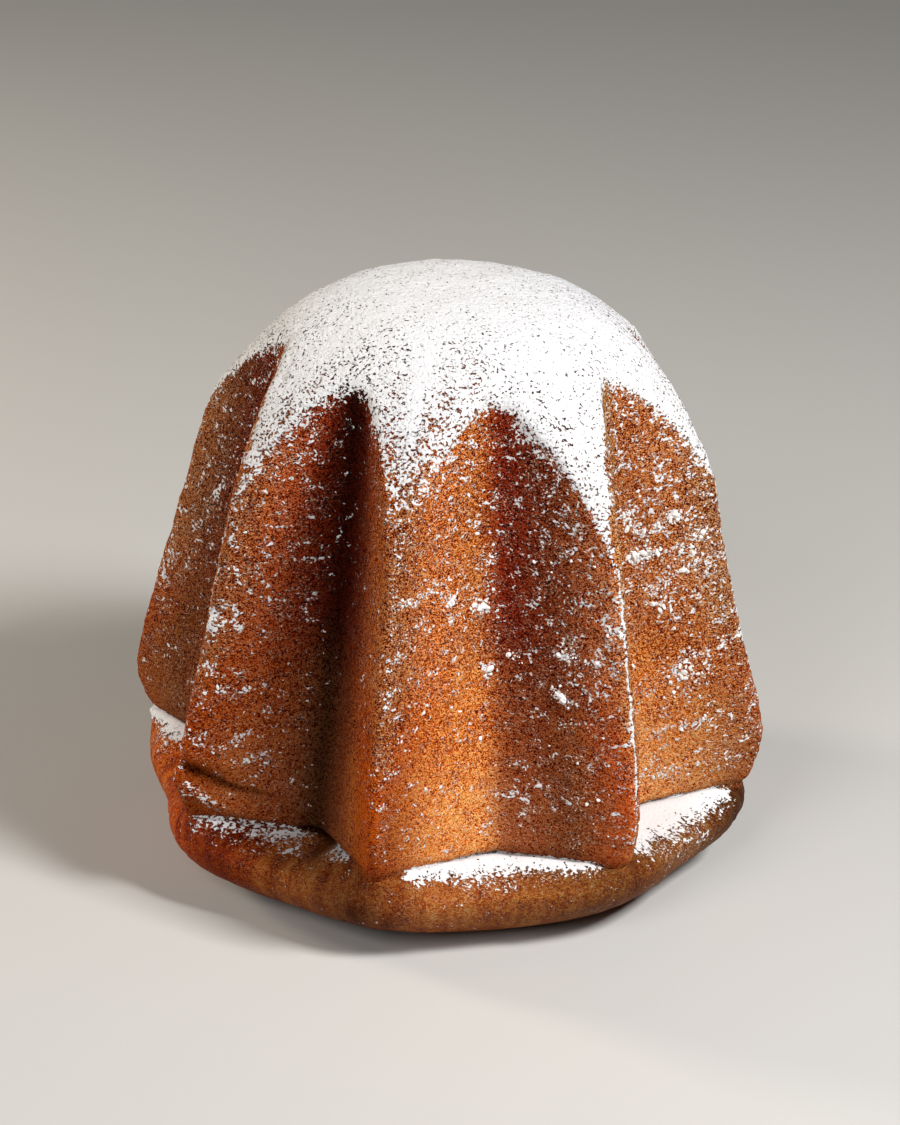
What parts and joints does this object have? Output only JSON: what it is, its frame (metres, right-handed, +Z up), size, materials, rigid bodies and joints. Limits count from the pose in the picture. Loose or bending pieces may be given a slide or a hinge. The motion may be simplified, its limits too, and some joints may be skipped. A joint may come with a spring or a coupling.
{
  "type": "pandoro",
  "caption": "Tall star-shaped sweet bread with fluted golden sides, a rolled lip at the wide end it stands on, and a crown under powdered sugar",
  "frame": {"origin": "middle of the flat underside that the loaf stands on, at the bottom centre of its bounding box", "axes": "+Z up, from the wide end to the crown; -Y toward the side that the picture shows; +X to the right of that view"},
  "size_m": [0.2154, 0.217, 0.1984],
  "materials": {
    "crust": "matt golden-brown baked crust",
    "sugar": "matt white powdered sugar"
  },
  "bodies": {
    "root": {"pandoro": "crust"}
  },
  "joints": []
}
